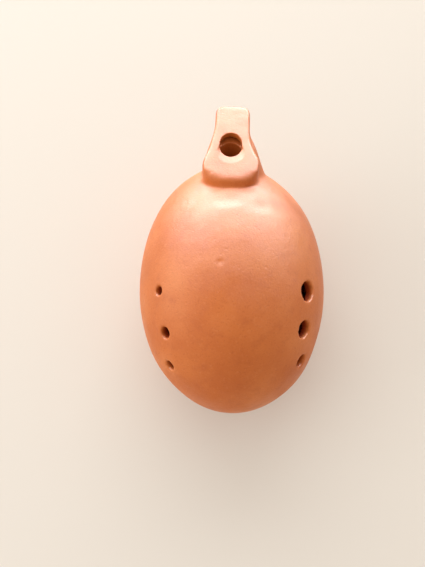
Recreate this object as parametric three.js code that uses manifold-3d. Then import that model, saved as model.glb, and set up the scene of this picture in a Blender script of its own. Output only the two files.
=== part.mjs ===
// A fired-clay vessel flute of the xun family, blown through a duct. An egg-shaped air chamber is luted from a
// front and a back shell, and a mouthpiece of three clay pieces sits on its shoulder: a block with the windway's
// floor and the throat into the chamber, the windway's roof, and the collar with the window's ramp and edge.
// Millimetres, +Z up. It lies on its back, finger holes on top, with the lips towards +Y.
import * as THREE from 'three';
import { mergeVertices } from 'three/addons/utils/BufferGeometryUtils.js';
import Module from 'manifold-3d';

const wasm = await Module();
wasm.setup();

// Air chamber: round across its axis, with a blunt end and a longer shoulder end
const chamberWidth = 100;
const bluntReach = 66.3; // from the widest section to the blunt end
const shoulderReach = 72.8; // from the widest section to the end under the mouthpiece
const shoulderDrawnShare = 0.36; // how much that end is drawn in towards the neck
const shoulderDrawnPowerShare = 9; // power of that, so that it starts late
const wall = 5;
const restDepth = 1.2; // how much of the back is flattened, so that it lies still

// Tone holes, bored square to the wall. Left and right are as seen from above with the lips at the far end.
const leftIndexBore = 4.9;
const leftMiddleBore = 6.3;
const leftRingBore = 5.6;
const rightIndexBore = 10.2;
const rightMiddleBore = 9.5;
const rightRingBore = 7.3;
const thumbBore = 9;
const boreEdge = 0.8; // radius of the smoothed rim

// Each hole's place: a share of the blunt end's reach, and the turn round the axis from the top in degrees
const toneHoles = [
  { bore: leftIndexBore, reachShare: 0.09, turn: -48 },
  { bore: leftMiddleBore, reachShare: 0.4, turn: -47.5 },
  { bore: leftRingBore, reachShare: 0.635, turn: -55.5 },
  { bore: rightIndexBore, reachShare: 0.095, turn: 47.5 },
  { bore: rightMiddleBore, reachShare: 0.375, turn: 49 },
  { bore: rightRingBore, reachShare: 0.6, turn: 58.5 },
  { bore: thumbBore, reachShare: 0.2, turn: -148 },
  { bore: thumbBore, reachShare: 0.2, turn: 148 },
];

// Mouthpiece: its flat top slopes down to the lips. Lengths along it are from the middle of the window.
const mouthSlope = THREE.MathUtils.degToRad(15);
const mouthTurn = THREE.MathUtils.degToRad(-2); // set on by hand, a little askew
const mouthOffset = -0.9;
const windowInset = 2.8; // of the window's middle from the chamber's shoulder end
const collarStand = 4.25; // height of the collar's front step over the chamber
const collarWidth = 28.8;
const collarLength = 24.1;
const collarCorner = 8; // width of the rounding at its front corners
const collarCornerLength = 7.2;
const collarCornerShare = 0.45; // how near that rounding's handles come to the corner, less for a squarer one
const tongueOffset = 0.7; // of its middle line to the right of the window's
const beakWidth = 18.3;
const beakLength = 25.1;
const beakThickness = 11;
const lipCorner = 4;
const edgeRound = 2; // rounding of all the outer edges
const waistAhead = 10.5; // where the beak begins to widen

// Root: the flare that carries the collar and the beak down onto the chamber's end
const rootDepth = 27; // from the roof's underside to its foot, inside the chamber's skin
const rootInset = 1.4; // how far its head lies inside the collar's sides and front
const rootSpreadShare = 0.21; // how much its foot is wider to each side, of the chamber's half width
const rootLeanShare = 0.088; // how far its foot lies to the right, of the same
const rootFlareShare = 1.2; // power of that flare, 1 for a plain cone
const chinReach = 3; // of its foot, ahead of the window's middle
const chinFlare = 11.5; // how much further its head reaches under the beak
const chinFlareShare = 2; // power of that flare

// Voicing: windway, window, ramp, edge and throat
const windowWidth = 11.5;
const windowLength = 12.6;
const roofThickness = 3.3;
const windwayHeight = 2;
const windwayWidth = 11.3;
const slotHeight = 2.2; // of the windway at the lips
const slotWidth = 13;
const edgeDrop = 3.5; // of the sounding edge below the mouthpiece's top
const edgeThickness = 0.6;
const rampLength = 5.2;
const rampSpread = 3.4; // how far the ramp spreads to each side
const rampTail = 5; // how far the ramp's far end stays short of the window's
const throatDepth = 24;
const throatSetback = 25.7; // how far its near wall leans back on the way down
const throatLean = 7.5; // how far its far wall leans back
const throatWidth = 12.2;
const throatSpread = 2.9; // how much it widens to each side on the way down
const floorOverhang = 0.8; // of the windway's floor past the roof's end
const collarSplit = 1.5; // where the collar meets the roof

const lutingGap = 0.3; // the seam between two pieces, filled with slip on the real one
const overrun = 4; // of a cutter past what it cuts

const floorDrop = roofThickness + windwayHeight;
const rootSpread = rootSpreadShare * chamberWidth / 2;
const rootLean = rootLeanShare * chamberWidth / 2;
const waistBehind = collarLength - collarCornerLength; // where the collar has its full width
const windowReach = shoulderReach - windowInset;
const frontReach = windowReach - collarLength * Math.cos(mouthSlope);
const frontHeight = chamberRadius(frontReach) + collarStand;
const windowHeight = frontHeight - (windowReach - frontReach) * Math.tan(mouthSlope);

// The mouthpiece's own frame: X across, Y along its top towards the lips, Z square to its top
const mouthFrame = new THREE.Matrix4()
  .makeTranslation(mouthOffset, windowReach, windowHeight)
  .multiply(new THREE.Matrix4().makeRotationZ(mouthTurn))
  .multiply(new THREE.Matrix4().makeRotationX(-mouthSlope));

function chamberReach(along) {
  return along < 0 ? bluntReach : shoulderReach;
}

// What is left of the chamber's width where its end is drawn in, by the share of the reach
function drawnShare(reachShare) {
  return 1 - shoulderDrawnShare * Math.max(reachShare, 0) ** shoulderDrawnPowerShare;
}

function chamberRadius(along) {
  const reachShare = along / chamberReach(along);
  return chamberWidth / 2 * Math.sqrt(1 - reachShare ** 2) * drawnShare(reachShare);
}

// Solids and cuts

function solid(geometry) {
  geometry.deleteAttribute('normal');
  geometry.deleteAttribute('uv');
  const merged = mergeVertices(geometry);
  const corners = merged.index.array;
  const faces = [];
  for (let i = 0; i < corners.length; i += 3) {
    const [a, b, c] = corners.slice(i, i + 3);
    if (a !== b && b !== c && c !== a) faces.push(a, b, c);
  }
  return new wasm.Manifold(new wasm.Mesh({
    numProp: 3,
    vertProperties: new Float32Array(merged.attributes.position.array),
    triVerts: new Uint32Array(faces),
  }));
}

// A closed skin through flat rings of points, which run anticlockwise seen from the last ring
function loft(rings) {
  const count = rings[0].length;
  const last = (rings.length - 1) * count;
  const faces = [];
  for (let start = 0; start < last; start += count) {
    for (let i = 0; i < count; i++) {
      const a = start + i;
      const b = start + (i + 1) % count;
      faces.push(a, b, b + count, a, b + count, a + count);
    }
  }
  for (let i = 1; i + 1 < count; i++) {
    faces.push(0, i + 1, i, last, last + i, last + i + 1);
  }
  const geometry = new THREE.BufferGeometry().setFromPoints(rings.flat());
  return geometry.setIndex(faces);
}

// A level oval ring between two places along the mouthpiece
function ovalRing(halfWidth, near, far, height, across = 0, sides = 40) {
  const ring = [];
  for (let i = 0; i < sides; i++) {
    const angle = i / sides * 2 * Math.PI;
    const along = (near + far) / 2 + (far - near) / 2 * Math.sin(angle);
    ring.push(new THREE.Vector3(across + halfWidth * Math.cos(angle), along, height));
  }
  return ring;
}

// A block between two corners, as a cutter
function block(low, high) {
  const size = new THREE.Vector3().subVectors(high, low);
  const middle = new THREE.Vector3().addVectors(low, high).divideScalar(2);
  return new THREE.BoxGeometry(size.x, size.y, size.z).translate(middle.x, middle.y, middle.z);
}

// The egg as a turned solid, grown or shrunk by a margin
function egg(margin, rings, sides) {
  const profile = [];
  for (let i = 0; i <= rings; i++) {
    const angle = (i / rings - 1 / 2) * Math.PI;
    const radius = (chamberWidth / 2 + margin) * Math.cos(angle) * drawnShare(Math.sin(angle));
    const along = (chamberReach(angle) + margin) * Math.sin(angle);
    profile.push(new THREE.Vector2(i % rings ? radius : 0, along));
  }
  return solid(new THREE.LatheGeometry(profile, sides));
}

// A round cutter, square to the wall, whose flare leaves the rim smoothed
function toneHole({ bore, reachShare, turn }) {
  const along = -reachShare * bluntReach;
  const angle = THREE.MathUtils.degToRad(turn);
  const radius = chamberRadius(along);
  const place = new THREE.Vector3(radius * Math.sin(angle), along, radius * Math.cos(angle));
  const outward = new THREE.Vector3(
    place.x / (chamberWidth / 2) ** 2, along / bluntReach ** 2, place.z / (chamberWidth / 2) ** 2).normalize();
  const rim = bore / 2 + boreEdge;
  const profile = new THREE.Path();
  profile.moveTo(0, -wall - overrun);
  profile.lineTo(bore / 2, -wall - overrun);
  profile.lineTo(bore / 2, -boreEdge);
  profile.absarc(rim, -boreEdge, boreEdge, Math.PI, Math.PI / 2, true);
  profile.lineTo(rim, overrun);
  profile.lineTo(0, overrun);
  const upright = new THREE.Vector3(0, 1, 0);
  const cutter = new THREE.LatheGeometry(profile.getPoints(4), 28);
  cutter.applyQuaternion(new THREE.Quaternion().setFromUnitVectors(upright, outward));
  return solid(cutter.translate(place.x, place.y, place.z));
}

// The mouthpiece's outer form down to the beak's underside: a waisted tongue with rounded edges
function tongue() {
  const beak = beakWidth / 2;
  const collar = collarWidth / 2;
  const bend = (waistAhead + waistBehind) / 3;
  const handleAcross = collarCornerShare * collarCorner;
  const handleLength = collarCornerShare * collarCornerLength;
  const outline = new THREE.Shape();
  outline.moveTo(-beak + lipCorner, beakLength);
  outline.quadraticCurveTo(-beak, beakLength, -beak, beakLength - lipCorner);
  outline.lineTo(-beak, waistAhead);
  outline.bezierCurveTo(-beak, waistAhead - bend, -collar, bend - waistBehind, -collar, -waistBehind);
  outline.bezierCurveTo(-collar, handleLength - collarLength, handleAcross - collar, -collarLength,
    collarCorner - collar, -collarLength);
  outline.lineTo(collar - collarCorner, -collarLength);
  outline.bezierCurveTo(collar - handleAcross, -collarLength, collar, handleLength - collarLength,
    collar, -waistBehind);
  outline.bezierCurveTo(collar, bend - waistBehind, beak, waistAhead - bend, beak, waistAhead);
  outline.lineTo(beak, beakLength - lipCorner);
  outline.quadraticCurveTo(beak, beakLength, beak - lipCorner, beakLength);
  const form = new THREE.ExtrudeGeometry(outline, {
    depth: beakThickness - 2 * edgeRound,
    curveSegments: 10,
    bevelThickness: edgeRound,
    bevelSize: edgeRound,
    bevelOffset: -edgeRound,
    bevelSegments: 4,
  });
  return solid(form.translate(tongueOffset, 0, edgeRound - beakThickness).applyMatrix4(mouthFrame));
}

// The flare under the collar and the beak, drawn in level ovals from its foot up
function root() {
  const levels = 9;
  const rings = [];
  for (let k = levels; k >= 0; k--) {
    const down = k / levels;
    const halfWidth = collarWidth / 2 - rootInset + rootSpread * down ** rootFlareShare;
    const far = chinReach + chinFlare * (1 - down) ** chinFlareShare;
    const height = -roofThickness - rootDepth * down;
    rings.push(ovalRing(halfWidth, rootInset - collarLength, far, height, tongueOffset + rootLean * down));
  }
  return solid(loft(rings).applyMatrix4(mouthFrame));
}

// All of the mouthpiece's frame above or below a level, ahead of or behind a place
function slab(near, far, low, high) {
  const side = collarWidth;
  return solid(block(new THREE.Vector3(-side, near, low), new THREE.Vector3(side, far, high)).applyMatrix4(mouthFrame));
}

function windowCutter() {
  const rings = [-floorDrop - overrun, overrun].map(
    (level) => ovalRing(windowWidth / 2, -windowLength / 2, windowLength / 2, level));
  return solid(loft(rings).applyMatrix4(mouthFrame));
}

// The ramp fans out from the edge to the top and fades away at the window's sides
function rampCutter() {
  const rim = windowLength / 2;
  const rings = [
    ovalRing(windowWidth / 2, -rim, rim, -edgeDrop),
    ovalRing(windowWidth / 2 + rampSpread, -rim - rampLength, rim - rampTail, 0),
    ovalRing(windowWidth / 2 + rampSpread, -rim - rampLength, rim - rampTail, overrun),
  ];
  return solid(loft(rings).applyMatrix4(mouthFrame));
}

// The throat falls from under the edge back into the chamber and widens on the way
function throatCutter() {
  const near = -windowLength / 2;
  const far = windowLength / 2 - floorOverhang;
  const rings = [
    ovalRing(throatWidth / 2 + throatSpread, near - throatSetback, far - throatLean, -throatDepth),
    ovalRing(throatWidth / 2, near, far, -edgeDrop - edgeThickness),
  ];
  return solid(loft(rings).applyMatrix4(mouthFrame));
}

// The windway tapers from a slot at the lips to the window, over the block's flat floor
function windwayCutter() {
  const section = (across, halfWidth, along, height) => [
    new THREE.Vector3(across + halfWidth, along, -floorDrop),
    new THREE.Vector3(across - halfWidth, along, -floorDrop),
    new THREE.Vector3(across - halfWidth, along, height - floorDrop),
    new THREE.Vector3(across + halfWidth, along, height - floorDrop),
  ];
  const rings = [
    section(0, windwayWidth / 2, 0, windwayHeight),
    section(tongueOffset, slotWidth / 2, beakLength, slotHeight),
    section(tongueOffset, slotWidth / 2, beakLength + overrun, slotHeight),
  ];
  return solid(loft(rings).applyMatrix4(mouthFrame));
}

// The five clay pieces

const throat = throatCutter();
const seatedEgg = egg(lutingGap, 36, 56);
const mouthForm = tongue();
const lowest = -beakThickness - chamberWidth;

function shell(front) {
  const hollow = egg(-wall, 24, 40);
  const reach = Math.max(bluntReach, shoulderReach) + overrun;
  const side = chamberWidth / 2 + overrun;
  const bottom = front ? 0 : restDepth - chamberWidth / 2;
  const top = front ? side : 0;
  const half = solid(block(new THREE.Vector3(-side, -reach, bottom), new THREE.Vector3(side, reach, top)));
  const holes = toneHoles.filter(({ turn }) => Math.abs(turn) < 90 === front).map(toneHole);
  const cuts = front ? [...holes, throat] : holes;
  return cuts.reduce((body, cutter) => body.subtract(cutter), egg(0, 36, 56).intersect(half).subtract(hollow));
}

function fippleBlock() {
  const under = slab(-collarLength - overrun, beakLength + overrun, lowest, -floorDrop);
  return mouthForm.add(root()).intersect(under).subtract(seatedEgg).subtract(throat);
}

function windwayRoof() {
  const ahead = slab(collarSplit + lutingGap / 2, beakLength + overrun, lutingGap - floorDrop, overrun);
  return mouthForm.intersect(ahead).subtract(windowCutter()).subtract(windwayCutter()).subtract(seatedEgg);
}

function voicingCollar() {
  const behind = slab(-collarLength - overrun, collarSplit - lutingGap / 2, lutingGap - floorDrop, overrun);
  return mouthForm.intersect(behind).subtract(windowCutter()).subtract(rampCutter())
    .subtract(throat).subtract(seatedEgg);
}

// Unglazed terracotta, each piece a shade of the same clay
const clay = {
  frontShell: 0xd08a60,
  backShell: 0xc98257,
  block: 0xcb865c,
  roof: 0xd89a74,
  collar: 0xd39269,
};

function piece(name, body, colour) {
  const { vertProperties, triVerts } = body.getMesh();
  const geometry = new THREE.BufferGeometry();
  geometry.setAttribute('position', new THREE.BufferAttribute(vertProperties, 3));
  geometry.setIndex(new THREE.BufferAttribute(triVerts, 1));
  geometry.computeVertexNormals();
  const mesh = new THREE.Mesh(geometry, new THREE.MeshStandardMaterial({
    color: colour, roughness: 0.85, metalness: 0,
  }));
  mesh.name = name;
  return mesh;
}

const flute = new THREE.Group();
flute.add(
  piece('front_shell', shell(true), clay.frontShell),
  piece('back_shell', shell(false), clay.backShell),
  piece('fipple_block', fippleBlock(), clay.block),
  piece('windway_roof', windwayRoof(), clay.roof),
  piece('voicing_collar', voicingCollar(), clay.collar),
);

// The origin is under the middle of the whole, on the surface it lies on
const bounds = new THREE.Box3().setFromObject(flute);
flute.position.set(0, -(bounds.min.y + bounds.max.y) / 2, -bounds.min.z);

export default flute;
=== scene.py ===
import math
import time
import bmesh
import bpy
from mathutils import Euler, Matrix, Vector


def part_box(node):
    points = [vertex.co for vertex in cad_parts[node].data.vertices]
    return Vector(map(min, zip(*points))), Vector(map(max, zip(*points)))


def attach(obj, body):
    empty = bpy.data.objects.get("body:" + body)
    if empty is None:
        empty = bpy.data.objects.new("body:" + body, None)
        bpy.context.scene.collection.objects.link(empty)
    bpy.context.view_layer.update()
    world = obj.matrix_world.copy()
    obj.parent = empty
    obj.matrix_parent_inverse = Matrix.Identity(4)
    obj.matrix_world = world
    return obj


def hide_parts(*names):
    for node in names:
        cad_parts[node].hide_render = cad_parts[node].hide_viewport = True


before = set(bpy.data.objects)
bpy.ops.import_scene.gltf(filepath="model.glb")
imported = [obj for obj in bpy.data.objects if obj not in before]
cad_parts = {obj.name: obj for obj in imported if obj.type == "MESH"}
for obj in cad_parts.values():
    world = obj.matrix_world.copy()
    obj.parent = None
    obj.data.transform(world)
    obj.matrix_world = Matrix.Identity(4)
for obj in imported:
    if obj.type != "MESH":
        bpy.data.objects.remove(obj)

started = time.time()
bpy.ops.object.select_all(action="DESELECT")
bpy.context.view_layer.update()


def report(stage):
    print(f"{time.time() - started:6.1f} s  {stage}")


report("frame loaded: " + ", ".join(sorted(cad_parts)))

# The egg's long axis lies level, at the height where the two shells meet
shell = {
    "width": 0.100,
    "bluntReach": 0.0663,      # from the widest section to the near end
    "shoulderReach": 0.0728,   # and to the end under the mouthpiece
    "wall": 0.005,
    "restDepth": 0.0012,       # flattened off the back
    "segments": 128, "rings": 96,
    "firstDrawn": 62, "drawn": 0.36, "drawnPower": 6.5,   # from this ring on it is drawn in towards the neck
    "skinGrain": 0.00068,      # of the remesh that joins egg and mouthpiece
    "grain": 0.00077, "rounds": 2,   # of the finished shells' remesh, and its smoothing
}
eggCentre = Vector((0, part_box("front_shell")[0].y + shell["bluntReach"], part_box("back_shell")[1].z))

# The mouthpiece has its own frame: X across, Y along its flat top to the lips, Z out of the top
mouth = {
    "slope": 15,
    "turn": -2,
    "place": (-0.0009, 0.0700, 0.0361022),   # middle of the window, from the egg's centre
    "across": 0.0007,                        # of the tongue's middle line, right of the window's
}
mouthFrame = Matrix.Translation(eggCentre + Vector(mouth["place"])) @ Euler(
    (math.radians(-mouth["slope"]), 0, math.radians(mouth["turn"]))).to_matrix().to_4x4()
toMouth = mouthFrame.inverted()


# Small helpers
def takeUp(piece):
    if bpy.context.object and bpy.context.object.mode != "OBJECT":
        bpy.ops.object.mode_set(mode="OBJECT")
    bpy.ops.object.select_all(action="DESELECT")
    piece.select_set(True)
    bpy.context.view_layer.objects.active = piece
    return piece


def named(name):
    piece = bpy.context.object
    piece.name = piece.data.name = name
    return piece


def settle(piece, place=None):
    takeUp(piece)
    if place is not None:
        piece.matrix_world = place
    bpy.ops.object.transform_apply(location=True, rotation=True, scale=True)
    return piece


def twin(piece, name):
    copy = piece.copy()
    copy.data = piece.data.copy()
    copy.name = copy.data.name = name
    bpy.context.scene.collection.objects.link(copy)
    return copy


def work(piece, kind, **settings):
    takeUp(piece)
    modifier = piece.modifiers.new(kind.title(), kind)
    for key, value in settings.items():
        setattr(modifier, key, value)
    bpy.ops.object.modifier_apply(modifier=modifier.name)
    return piece


def remesh(piece, grain):
    return work(piece, "REMESH", mode="VOXEL", voxel_size=grain, use_smooth_shade=True)


def smooth(piece, rounds, group=""):
    return work(piece, "SMOOTH", factor=0.5, iterations=rounds, vertex_group=group)


def carve(piece, tool, operation="DIFFERENCE", keepTool=False):
    work(piece, "BOOLEAN", operation=operation, solver="MANIFOLD", object=tool)
    if not keepTool:
        bpy.data.objects.remove(tool)
    return piece


def edit(piece):
    takeUp(piece)
    bpy.ops.object.mode_set(mode="EDIT")


def done():
    bpy.ops.object.mode_set(mode="OBJECT")


def select(piece, test, kind="VERT"):
    bpy.ops.mesh.select_mode(type=kind)
    bpy.ops.mesh.select_all(action="DESELECT")
    mesh = bmesh.from_edit_mesh(piece.data)
    for part in {"VERT": mesh.verts, "EDGE": mesh.edges, "FACE": mesh.faces}[kind]:
        part.select = test(part)
    mesh.select_flush_mode()
    bmesh.update_edit_mesh(piece.data)


def openEdges(piece):
    mesh = bmesh.new()
    mesh.from_mesh(piece.data)
    count = sum(1 for e in mesh.edges if len(e.link_faces) != 2)
    mesh.free()
    return count


def ease(value, low, high):
    t = min(max((value - low) / (high - low), 0), 1)
    return t * t * (3 - 2 * t)


def paintGroup(piece, name, weightAt):
    group = piece.vertex_groups.new(name=name)
    shares = {}
    for v in piece.data.vertices:
        weight = round(weightAt(v.co), 2)
        if weight > 0:
            shares.setdefault(weight, []).append(v.index)
    for weight, indices in shares.items():
        group.add(indices, weight, "REPLACE")
    return group.name


def egg(name, margin):
    rings = shell["rings"]
    bpy.ops.mesh.primitive_uv_sphere_add(segments=shell["segments"], ring_count=rings, radius=1,
                                         rotation=(math.pi / 2, 0, 0))
    piece = settle(named(name))
    half = shell["width"] / 2 + margin
    edit(piece)
    for ring in range(shell["firstDrawn"], rings):
        reach = math.sin(math.pi * (ring / rings - 0.5))
        drawn = 1 - shell["drawn"] * reach ** shell["drawnPower"]
        select(piece, lambda v: abs(v.co.y - reach) < 1e-4)
        bpy.ops.transform.resize(value=(drawn, 1, drawn), center_override=(0, reach, 0))
    for side, reach in ((-1, shell["bluntReach"]), (1, shell["shoulderReach"])):
        select(piece, lambda v: v.co.y * side > 1e-6)
        bpy.ops.transform.resize(value=(1, (reach + margin) / half, 1), center_override=(0, 0, 0))
    bpy.ops.mesh.select_all(action="SELECT")
    bpy.ops.transform.resize(value=(half, half, half), center_override=(0, 0, 0))
    bpy.ops.mesh.normals_make_consistent(inside=False)
    done()
    return settle(piece, Matrix.Translation(eggCentre))


def oval(half, near, far, height, across=0.0):
    return {"half": half, "long": (far - near) / 2, "middle": Vector((across, (near + far) / 2, height))}


ovalCorners = 64


def ovalStack(name, rings, place=mouthFrame):
    # ovals from the top down, in the mouthpiece's frame
    top = rings[0]
    bpy.ops.mesh.primitive_circle_add(vertices=ovalCorners, radius=1, fill_type="NGON", location=top["middle"])
    piece = settle(named(name))
    edit(piece)
    bpy.ops.mesh.select_all(action="SELECT")
    bpy.ops.transform.resize(value=(top["half"], top["long"], 1), center_override=top["middle"])
    for before, after in zip(rings, rings[1:]):
        bpy.ops.mesh.extrude_region_move(TRANSFORM_OT_translate={"value": after["middle"] - before["middle"]})
        bpy.ops.transform.resize(value=(after["half"] / before["half"], after["long"] / before["long"], 1),
                                 center_override=after["middle"])
    bpy.ops.mesh.select_all(action="SELECT")
    bpy.ops.mesh.normals_make_consistent(inside=False)
    done()
    return settle(piece, place)


def makeBox(name, low, high, place=None):
    middle = [(a + b) / 2 for a, b in zip(low, high)]
    bpy.ops.mesh.primitive_cube_add(size=1, location=middle, scale=[b - a for a, b in zip(low, high)])
    return settle(settle(named(name)), place)


# Camera, fitted to the photograph's outline
view = {
    "place": (-0.01029, -0.06517, 0.3600),
    "tilt": 10,
    "lens": 36.38,
}
bpy.ops.object.camera_add(location=view["place"], rotation=(math.radians(view["tilt"]), 0, 0))
camera = named("camera")
camera.data.sensor_width = 36
camera.data.lens = view["lens"]
camera.data.clip_start = 0.01
bpy.context.scene.camera = camera
bpy.context.scene.view_settings.view_transform = "Standard"

# The mouthpiece's solid form: a waisted tongue
tongue = {
    "near": -0.0241, "lips": 0.0251, "thickness": 0.011,
    "beakHalf": 0.00915, "collarHalf": 0.0144,
    # where it widens, and by how much on the left and on the right
    "stations": [(-0.0135, 1.0, 1.0), (-0.0098, 1.0, 1.12), (-0.0045, 0.56, 0.54), (0.0015, 0.38, 0.10),
                 (0.0070, 0.16, 0.0), (0.0120, 0.0, 0.0), (0.0185, 0.0, 0.0)],
    "lipCorner": 0.0042, "collarCorner": 0.0098, "cornerSteps": 4,
    "edge": 0.0021, "edgeSteps": 3,
}


def makeTongue():
    piece = makeBox("tongue", (-tongue["beakHalf"], tongue["near"], -tongue["thickness"]),
                    (tongue["beakHalf"], tongue["lips"], 0))
    edit(piece)
    for along, *shares in tongue["stations"]:
        bpy.ops.mesh.select_all(action="SELECT")
        bpy.ops.mesh.bisect(plane_co=(0, along, 0), plane_no=(0, 1, 0))
    for along, left, right in [(tongue["near"], 1.0, 1.0)] + tongue["stations"]:
        for side, share in ((-1, left), (1, right)):
            select(piece, lambda v: abs(v.co.y - along) < 1e-5 and v.co.x * side > 0)
            wider = side * share * (tongue["collarHalf"] - tongue["beakHalf"])
            bpy.ops.transform.translate(value=(wider, 0, 0))
    for end, corner in ((tongue["lips"], tongue["lipCorner"]), (tongue["near"], tongue["collarCorner"])):
        select(piece, lambda e: all(abs(v.co.y - end) < 1e-5 for v in e.verts)
               and abs(e.verts[0].co.z - e.verts[1].co.z) > 1e-4, "EDGE")
        bpy.ops.mesh.bevel(offset=corner, segments=tongue["cornerSteps"], affect="EDGES")
    select(piece, lambda e: abs(e.verts[0].co.z - e.verts[1].co.z) < 1e-5 and len(e.link_faces) == 2
           and e.link_faces[0].normal.dot(e.link_faces[1].normal) < 0.3, "EDGE")
    bpy.ops.mesh.bevel(offset=tongue["edge"], segments=tongue["edgeSteps"], affect="EDGES")
    bpy.ops.mesh.select_all(action="SELECT")
    bpy.ops.mesh.normals_make_consistent(inside=False)
    done()
    work(piece, "SUBSURF", levels=2, render_levels=2)
    return settle(piece, mouthFrame @ Matrix.Translation((mouth["across"], 0, 0)))


# The flare that carries it on the egg
root = {
    "head": -0.0033, "depth": 0.027, "near": -0.0227,
    "headHalf": 0.0122, "spread": 0.0072, "lean": 0.0046, "flare": 0.75,
    "footFar": 0.003, "headFar": 0.0145, "chinFlare": 2,
    "levels": 9,
}


def rootRings(margin=0.0, lift=0.0):
    rings = []
    for k in range(root["levels"] + 1):
        down = k / root["levels"]
        half = root["headHalf"] + root["spread"] * down ** root["flare"]
        far = root["footFar"] + (root["headFar"] - root["footFar"]) * (1 - down) ** root["chinFlare"]
        rings.append(oval(half + margin, root["near"] - margin, far + margin,
                          root["head"] - root["depth"] * down, mouth["across"] + root["lean"] * down))
    if lift:
        rings.insert(0, oval(root["headHalf"] + margin, root["near"] - margin, root["headFar"] + margin,
                             root["head"] + lift, mouth["across"]))
    return rings


body = egg("clayBody", 0)
carve(body, makeTongue(), "UNION")
carve(body, ovalStack("root", rootRings()), "UNION")
remesh(body, shell["skinGrain"])
report(f"clay joined: {len(body.data.polygons)} faces")

# The joints are smoothed over, and the brow of the collar is rounded down to the egg
blending = {
    "rounds": 42,
    "top": -0.0013, "full": -0.0050,   # where the mouthpiece keeps its edges, and where it is blended fully
    "frontAt": -0.0200, "frontFade": 0.0030, "frontShare": 0.5,   # in front the crease stays crisper
    "half": 0.030, "near": -0.036, "far": 0.024, "fade": 0.007,   # the blended patch, and how its sides fade
}
brow = {
    "rounds": 90,
    "at": -0.0162, "fade": 0.0045,     # where it begins along the mouthpiece
    "low": -0.0046, "full": -0.0026,   # the heights between which it sets in
    "half": 0.020, "sideFade": 0.003,
}


def blendShare(place):
    u, v, w = toMouth @ place
    fade = blending["fade"]
    inside = ease(blending["half"] - abs(u), 0, fade) * ease(v - blending["near"], 0, fade) \
        * ease(blending["far"] - v, 0, fade)
    front = ease(blending["frontAt"] - v, 0, blending["frontFade"])
    return inside * (1 - front * (1 - blending["frontShare"])) * ease(-w, -blending["top"], -blending["full"])


def browShare(place):
    u, v, w = toMouth @ place
    lengthways = ease(brow["at"] - v, 0, brow["fade"])
    upwards = ease(w, brow["low"], brow["full"])
    return lengthways * upwards * ease(brow["half"] - abs(u), 0, brow["sideFade"])


smooth(body, blending["rounds"], paintGroup(body, "blend", blendShare))
smooth(body, brow["rounds"], paintGroup(body, "brow", browShare))
report("joints smoothed")

# Thrown and pressed by hand, the egg isn't quite even
unevenness = [
    # direction and amount, middle and reach of each push
    ("X", -0.0008, (0, 0.042, 0.060), (0.09, 0.022, 0.06)),        # shoulder leans left
    ("X", 0.0006, (0, -0.070, 0.050), (0.09, 0.030, 0.06)),        # near end leans right
    ("NORMAL", 0.0006, (0.035, -0.058, 0.050), (0.030, 0.020, 0.045)),
    ("NORMAL", 0.0003, (-0.035, -0.052, 0.050), (0.030, 0.020, 0.045)),
    ("NORMAL", -0.0006, (-0.0025, 0.0235, 0.090), (0.0125, 0.0055, 0.010)),   # pressed dent under the collar
    ("NORMAL", 0.0003, (-0.001, 0.0302, 0.087), (0.0120, 0.0045, 0.010)),     # and the ridge above it
    ("NORMAL", -0.0004, (0.0135, 0.0205, 0.088), (0.0070, 0.0050, 0.010)),
    ("NORMAL", -0.0006, (-0.0066, -0.0088, 0.0985), (0.0016, 0.0016, 0.010)),  # small dimple
]
for direction, amount, middle, reach in unevenness:
    def pushShare(place):
        away = math.sqrt(sum(((c - m) / r) ** 2 for c, m, r in zip(place, middle, reach)))
        return ease(1 - away, 0, 1)
    work(body, "DISPLACE", direction=direction, strength=amount, mid_level=0,
         vertex_group=paintGroup(body, "push", pushShare))
report("egg made uneven")

# Finger holes in front, thumb holes behind
toneHoles = {
    "holes": [
        # bore, share of the near reach, turn round the axis from the top
        (0.0047, 0.090, -48), (0.0060, 0.400, -47.5), (0.0053, 0.635, -55.5),
        (0.0100, 0.095, 47.5), (0.0090, 0.375, 49), (0.0070, 0.600, 58.5),
        (0.0090, 0.200, -148), (0.0090, 0.200, 148),
    ],
    "corners": 48,
    "rimReach": 0.0012, "rimRounds": 3,   # how far and how much the rims are softened
}


def toneHolePlace(share, turn):
    half, reach = shell["width"] / 2, shell["bluntReach"]
    radius = half * math.sqrt(1 - share ** 2)
    angle = math.radians(turn)
    place = Vector((radius * math.sin(angle), -share * reach, radius * math.cos(angle)))
    outward = Vector((place.x / half ** 2, place.y / reach ** 2, place.z / half ** 2)).normalized()
    return eggCentre + place, outward


def toneHole(bore, share, turn):
    place, outward = toneHolePlace(share, turn)
    bpy.ops.mesh.primitive_cylinder_add(vertices=toneHoles["corners"], radius=bore / 2, depth=4 * shell["wall"])
    upright = outward.to_track_quat("Z", "Y").to_matrix().to_4x4()
    return settle(named("drill"), Matrix.Translation(place) @ upright)


def rimShare(place):
    share = 0
    for bore, along, turn in toneHoles["holes"]:
        centre, outward = toneHolePlace(along, turn)
        offset = place - centre
        if offset.length < bore:
            height = offset.dot(outward)
            aside = (offset - height * outward).length
            away = math.hypot(aside - bore / 2, height)
            share = max(share, ease(toneHoles["rimReach"] - away, 0, toneHoles["rimReach"]))
    return share


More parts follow.
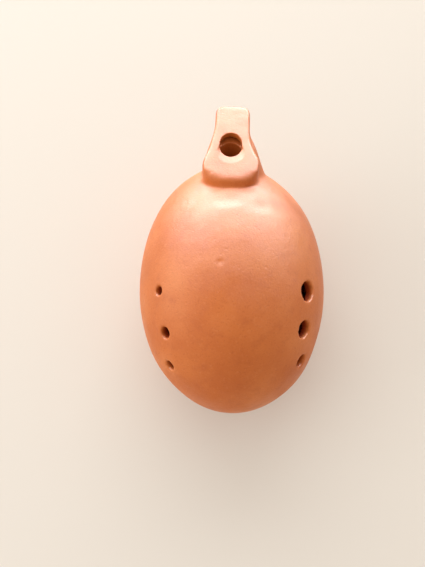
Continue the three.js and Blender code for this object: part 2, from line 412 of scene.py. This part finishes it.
# Window, ramp, throat and windway
voicing = {
    "windowHalf": 0.00575, "windowNear": -0.0077, "windowFar": 0.0063,
    "floor": -0.0053, "windwayHeight": 0.002, "windwayHalf": 0.00565,
    "slotHeight": 0.0022, "slotHalf": 0.0065,   # the windway at the lips
    "edge": -0.0013, "edgeThickness": 0.0006,
    "rampLength": 0.0052, "rampSpread": 0.0036,
    "rampFade": -0.05, "rampFull": 0.8,   # it sets in between these shares of the window's half length
    "throatDepth": -0.024, "throatSetback": 0.0257, "throatLean": 0.0075,
    "throatHalf": 0.0061, "throatSpread": 0.0029, "overhang": 0.0008,
    "grain": 0.00032,                   # of the neck's remeshes
    "above": 0.004, "lap": 0.00015,     # how far the tools stand out, and how far they overlap
}


def makeWindow():
    v = voicing
    return ovalStack("window", [oval(v["windowHalf"], v["windowNear"], v["windowFar"], height)
                                for height in (v["above"], v["floor"] + v["lap"])])


def makeRamp():
    # fans out of the edge, and fades away at the window's sides
    v = voicing
    half = v["windowHalf"] - v["lap"]
    near, far = v["windowNear"] + v["lap"], v["windowFar"] - v["lap"]
    middle, rim = (near + far) / 2, (far - near) / 2
    heights = (v["above"], 0.0, v["edge"] - v["lap"])
    piece = ovalStack("ramp", [oval(half, near, far, height) for height in heights], place=None)
    edit(piece)
    rows = ovalCorners // 2
    for row in range(rows, 0, -1):
        reach = middle + rim * math.cos(row * math.pi / rows)
        share = ease((middle - reach) / rim, v["rampFade"], v["rampFull"])
        wider = 1 + share * v["rampSpread"] / half
        longer = 1 + share * v["rampLength"] / rim * (reach < middle)
        select(piece, lambda p: abs(p.co.y - reach) < 5e-6 and p.co.z > v["edge"] / 2)
        bpy.ops.transform.resize(value=(wider, longer, 1), center_override=(0, middle, 0))
    done()
    return settle(piece, mouthFrame)


def makeThroat():
    v = voicing
    far = v["windowFar"] - v["overhang"]
    return ovalStack("throat", [
        oval(v["throatHalf"], v["windowNear"] - v["lap"], far, v["edge"] - v["edgeThickness"]),
        oval(v["throatHalf"] + v["throatSpread"], v["windowNear"] - v["throatSetback"],
             far - v["throatLean"], v["throatDepth"])])


def makeWindway():
    v = voicing
    length = tongue["lips"] + v["above"]
    piece = makeBox("windway", (-v["windwayHalf"], 0, v["floor"]),
                    (v["windwayHalf"], length, v["floor"] + v["windwayHeight"]))
    edit(piece)
    select(piece, lambda p: p.co.y > length / 2)
    wider, higher = v["slotHalf"] / v["windwayHalf"], v["slotHeight"] / v["windwayHeight"]
    bpy.ops.transform.resize(value=(wider, 1, higher), center_override=(0, length, v["floor"]))
    bpy.ops.transform.translate(value=(mouth["across"], 0, 0))
    done()
    return settle(piece, mouthFrame)


# The zone that the mouthpiece's three pieces share, down to just under the egg's skin
parting = {
    "margin": 0.0012, "lift": 0.020,   # how far the zone stands out round the root, and above its head
    "beakLow": (-0.018, -0.0275, -0.0135), "beakHigh": (0.0194, 0.04, 0.012),
    "seat": -0.0004,         # under the egg's skin
    "floor": -0.0046,        # between block and roof, halfway up the windway's sides
    "collar": 0.0015,        # between collar and roof
}
neckZone = ovalStack("neckZone", rootRings(parting["margin"], parting["lift"]))
carve(neckZone, makeBox("beakZone", parting["beakLow"], parting["beakHigh"], mouthFrame), "UNION")
carve(neckZone, egg("seat", parting["seat"]))
report(f"parting zone made, {openEdges(neckZone)} open edges")

# Everything that is hollow, as one tool
hollow = egg("hollow", -shell["wall"])
openings = [makeThroat(), makeWindow(), makeRamp(), makeWindway()]
openings += [toneHole(*hole) for hole in toneHoles["holes"]]
for opening in openings:
    carve(hollow, opening, "UNION")
report(f"hollow made, {openEdges(hollow)} open edges")

# The neck has a finer grain than the egg
neckChunk = {"low": (-0.032, 0.018, 0.050), "high": (0.032, 0.1, 0.12), "rounds": 8, "cutRounds": 3}
neck = twin(body, "neck")
carve(neck, makeBox("chunk", neckChunk["low"], neckChunk["high"]), "INTERSECT")
remesh(neck, voicing["grain"])
smooth(neck, neckChunk["rounds"])
report(f"neck refined: {len(neck.data.polygons)} faces")
carve(neck, hollow, keepTool=True)
report(f"voicing cut: {len(neck.data.polygons)} faces, {openEdges(neck)} open edges")
remesh(neck, voicing["grain"])
smooth(neck, neckChunk["cutRounds"])
report(f"neck remeshed: {len(neck.data.polygons)} faces, {openEdges(neck)} open edges")
carve(neck, neckZone, "INTERSECT", keepTool=True)
report(f"neck parted: {len(neck.data.polygons)} faces")

shells = twin(body, "shells")
carve(shells, hollow)
backHeight = eggCentre.z - shell["width"] / 2 + shell["restDepth"]
carve(shells, makeBox("table", (-0.1, -0.1, -0.1), (0.1, 0.1, backHeight)))
report(f"shells cut: {len(shells.data.polygons)} faces, {openEdges(shells)} open edges")
remesh(shells, shell["grain"])
smooth(shells, shell["rounds"])
smooth(shells, toneHoles["rimRounds"], paintGroup(shells, "rims", rimShare))
report(f"shells remeshed: {len(shells.data.polygons)} faces, {openEdges(shells)} open edges")
carve(shells, neckZone)
report(f"shells parted from the neck: {len(shells.data.polygons)} faces")
bpy.data.objects.remove(body)


def part(piece, name, low, high, place=None):
    return carve(twin(piece, name), makeBox("share", low, high, place), "INTERSECT")


far = 0.2
seam = eggCentre.z
level, across = parting["floor"], parting["collar"]   # both in the mouthpiece's frame
pieces = {
    "front_shell": part(shells, "frontShell", (-far, -far, seam), (far, far, far)),
    "back_shell": part(shells, "backShell", (-far, -far, -far), (far, far, seam)),
    "fipple_block": part(neck, "fippleBlock", (-far, -far, -far), (far, far, level), mouthFrame),
    "windway_roof": part(neck, "windwayRoof", (-far, across, level), (far, far, far), mouthFrame),
    "voicing_collar": part(neck, "voicingCollar", (-far, -far, level), (far, across, far), mouthFrame),
}
for spare in (shells, neck):
    bpy.data.objects.remove(spare)
report("parted into five")

# Fired clay: mottled, gritty, wiped smooth by hand, with a dull sheen
terracotta = {
    "deep": (0.53, 0.122, 0.016, 1), "body": (0.59, 0.150, 0.024, 1), "pale": (0.65, 0.188, 0.040, 1),
    "burnt": (0.40, 0.075, 0.010, 1), "dusty": (0.74, 0.30, 0.11, 1),
    "cloudScale": 30,
    "stains": [
        # colour, scale and detail of its pattern, where it begins and where it is full, and its share there
        ("burnt", 150, 4, 0.55, 0.75, 0.30),    # blotches
        ("dusty", 700, 3, 0.56, 0.78, 0.16),    # grit
        ("burnt", 1100, 2, 0.54, 0.76, 0.38),   # grain
    ],
    "inside": (0.36, 0.046, 0.005, 1),        # painted shade in the hollow, from just under the holes' rims inwards
    "paintedShadeFull": 0.945, "paintedShadeEnds": 0.975,   # where it is full and where it ends, in the egg's half sizes
    "sheen": 0.36, "sheenScale": 70, "smoothest": 0.44, "roughest": 0.58,
}
# What hands and grit left in its skin, as fine bumps
relief = {
    "smoothed": {"scale": 140, "strength": 0.35, "height": 0.0006},
    "wiped": {"scale": 420, "strength": 0.22, "height": 0.0004, "stretch": (1, 0.16, 0.5)},
    "gritty": {"scale": 1300, "strength": 0.30, "height": 0.0003},
    "pitted": {"scale": 260, "strength": 0.16, "height": 0.0003, "middle": 0.08, "rim": 0.20},
}
clay = bpy.data.materials.new("terracotta")
clay.use_nodes = True
nodes, links = clay.node_tree.nodes, clay.node_tree.links
fired = nodes["Principled BSDF"]
spot = nodes.new("ShaderNodeTexCoord").outputs["Object"]


def stretched(scale):
    mapping = nodes.new("ShaderNodeMapping")
    mapping.inputs["Scale"].default_value = scale
    links.new(spot, mapping.inputs["Vector"])
    return mapping.outputs["Vector"]


def noise(scale, detail=2.0, where=spot):
    texture = nodes.new("ShaderNodeTexNoise")
    texture.inputs["Scale"].default_value = scale
    texture.inputs["Detail"].default_value = detail
    links.new(where, texture.inputs["Vector"])
    return texture.outputs["Fac"]


def graded(factor, *stops):
    grade = nodes.new("ShaderNodeValToRGB")
    points = grade.color_ramp.elements
    while len(points) < len(stops):
        points.new(0.5)
    for point, (at, colour) in zip(points, stops):
        point.position = at
        point.color = colour if isinstance(colour, tuple) else (colour, colour, colour, 1)
    links.new(factor, grade.inputs["Fac"])
    return grade.outputs["Color"]


def stained(under, colour, factor):
    mix = nodes.new("ShaderNodeMix")
    mix.data_type = "RGBA"
    links.new(factor, mix.inputs["Factor"])
    links.new(under, mix.inputs[6])
    mix.inputs[7].default_value = colour
    return mix.outputs[2]


def bumped(height, kind, under=None):
    bump = nodes.new("ShaderNodeBump")
    bump.inputs["Strength"].default_value = relief[kind]["strength"]
    bump.inputs["Distance"].default_value = relief[kind]["height"]
    links.new(height, bump.inputs["Height"])
    if under:
        links.new(under, bump.inputs["Normal"])
    return bump.outputs["Normal"]


def vectorMath(operation, vector, other=None):
    node = nodes.new("ShaderNodeVectorMath")
    node.operation = operation
    links.new(vector, node.inputs[0])
    if other is not None:
        node.inputs[1].default_value = other
    return node.outputs


colour = graded(noise(terracotta["cloudScale"], 3), (0.34, terracotta["deep"]), (0.50, terracotta["body"]),
                (0.66, terracotta["pale"]))
for stain, scale, detail, begins, full, share in terracotta["stains"]:
    colour = stained(colour, terracotta[stain], graded(noise(scale, detail), (begins, 0.0), (full, share)))
perReach = (2 / shell["width"], 1 / shell["bluntReach"], 2 / shell["width"])
fromCentre = vectorMath("SUBTRACT", spot, eggCentre)["Vector"]
depth = vectorMath("LENGTH", vectorMath("MULTIPLY", fromCentre, perReach)["Vector"])["Value"]
# Painted shade: the egg's inside and the holes' bores are darkened, fading out towards the holes' rims
colour = stained(colour, terracotta["inside"],
                 graded(depth, (terracotta["paintedShadeFull"], 1.0), (terracotta["paintedShadeEnds"], 0.0)))
links.new(colour, fired.inputs["Base Color"])
roughness = graded(noise(terracotta["sheenScale"], 3), (0.35, terracotta["smoothest"]),
                   (0.65, terracotta["roughest"]))
links.new(roughness, fired.inputs["Roughness"])
fired.inputs["Specular IOR Level"].default_value = terracotta["sheen"]

pits = nodes.new("ShaderNodeTexVoronoi")
pits.inputs["Scale"].default_value = relief["pitted"]["scale"]
links.new(spot, pits.inputs["Vector"])
dips = graded(pits.outputs["Distance"], (relief["pitted"]["middle"], 0.0), (relief["pitted"]["rim"], 1.0))
skin = bumped(noise(relief["smoothed"]["scale"], 3), "smoothed")
skin = bumped(noise(relief["wiped"]["scale"], 3, stretched(relief["wiped"]["stretch"])), "wiped", skin)
skin = bumped(noise(relief["gritty"]["scale"], 2), "gritty", skin)
skin = bumped(dips, "pitted", skin)
links.new(skin, fired.inputs["Normal"])

for node, piece in pieces.items():
    piece.data.materials.clear()
    piece.data.materials.append(clay)
    takeUp(piece)
    bpy.ops.object.shade_smooth_by_angle(angle=math.radians(50))
    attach(piece, "root")
    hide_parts(node)
    report(f"{piece.name}: {len(piece.data.polygons)} faces, {openEdges(piece)} open edges")

bpy.ops.mesh.primitive_plane_add(size=6, location=(0, 0, 0))
floor = named("floor")
paint = bpy.data.materials.new("floorPaint")
paint.use_nodes = True
bare = paint.node_tree.nodes["Principled BSDF"].inputs
bare["Base Color"].default_value = (0.79, 0.73, 0.65, 1)
bare["Roughness"].default_value = 1
bare["Specular IOR Level"].default_value = 0
floor.data.materials.append(paint)

# A wide window low behind the instrument, its glare on the clay, a faint light on the left,
# and a room that is darkest overhead and on the viewer's side
daylight = (0.92, 0.96, 1.0)
lamps = [
    # name, place, tilt from straight down about X and Y, width and height, watts
    ("windowLight", (-0.10, 0.70, 0.53), (-57, 0), (0.9, 0.5), 3.6),
    ("windowGlare", (-0.03, 0.78, 0.42), (-67, 0), (2.4, 0.9), 92),
    ("sillGlare", (-0.03, 0.90, 0.16), (-85, 0), (1.6, 0.2), 30),
    ("sideLight", (-0.85, 0.0, 0.35), (0, -72), (0.6, 0.6), 2.2),
]
for name, place, (tiltX, tiltY), (width, height), watts in lamps:
    tilt = (math.radians(tiltX), math.radians(tiltY), 0)
    bpy.ops.object.light_add(type="AREA", location=place, rotation=tilt)
    lamp = named(name)
    lamp.data.shape = "RECTANGLE"
    lamp.data.size, lamp.data.size_y = width, height
    lamp.data.energy = watts
    lamp.data.color = daylight
    lamp.visible_diffuse = "Glare" not in name   # the glares show in the sheen only

room = {
    "darkest": (0.42, -0.55, 0.72),   # the direction in which it is darkest
    "lit": (0.98, 0.94, 0.90, 1), "dim": (0.46, 0.43, 0.40, 1), "dimFrom": 0.95,
    "strength": 1.25,
}
world = bpy.data.worlds.new("air")
bpy.context.scene.world = world
world.use_nodes = True
sky = world.node_tree
toward = sky.nodes.new("ShaderNodeTexCoord")
gloom = sky.nodes.new("ShaderNodeVectorMath")
gloom.operation = "DOT_PRODUCT"
gloom.inputs[1].default_value = room["darkest"]
shade = sky.nodes.new("ShaderNodeValToRGB")
for point, at, tone in zip(shade.color_ramp.elements, (0.0, room["dimFrom"]), (room["lit"], room["dim"])):
    point.position, point.color = at, tone
sky.links.new(toward.outputs["Generated"], gloom.inputs[0])
sky.links.new(gloom.outputs["Value"], shade.inputs["Fac"])
sky.links.new(shade.outputs["Color"], sky.nodes["Background"].inputs["Color"])
sky.nodes["Background"].inputs["Strength"].default_value = room["strength"]

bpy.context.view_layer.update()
report("scene ready")
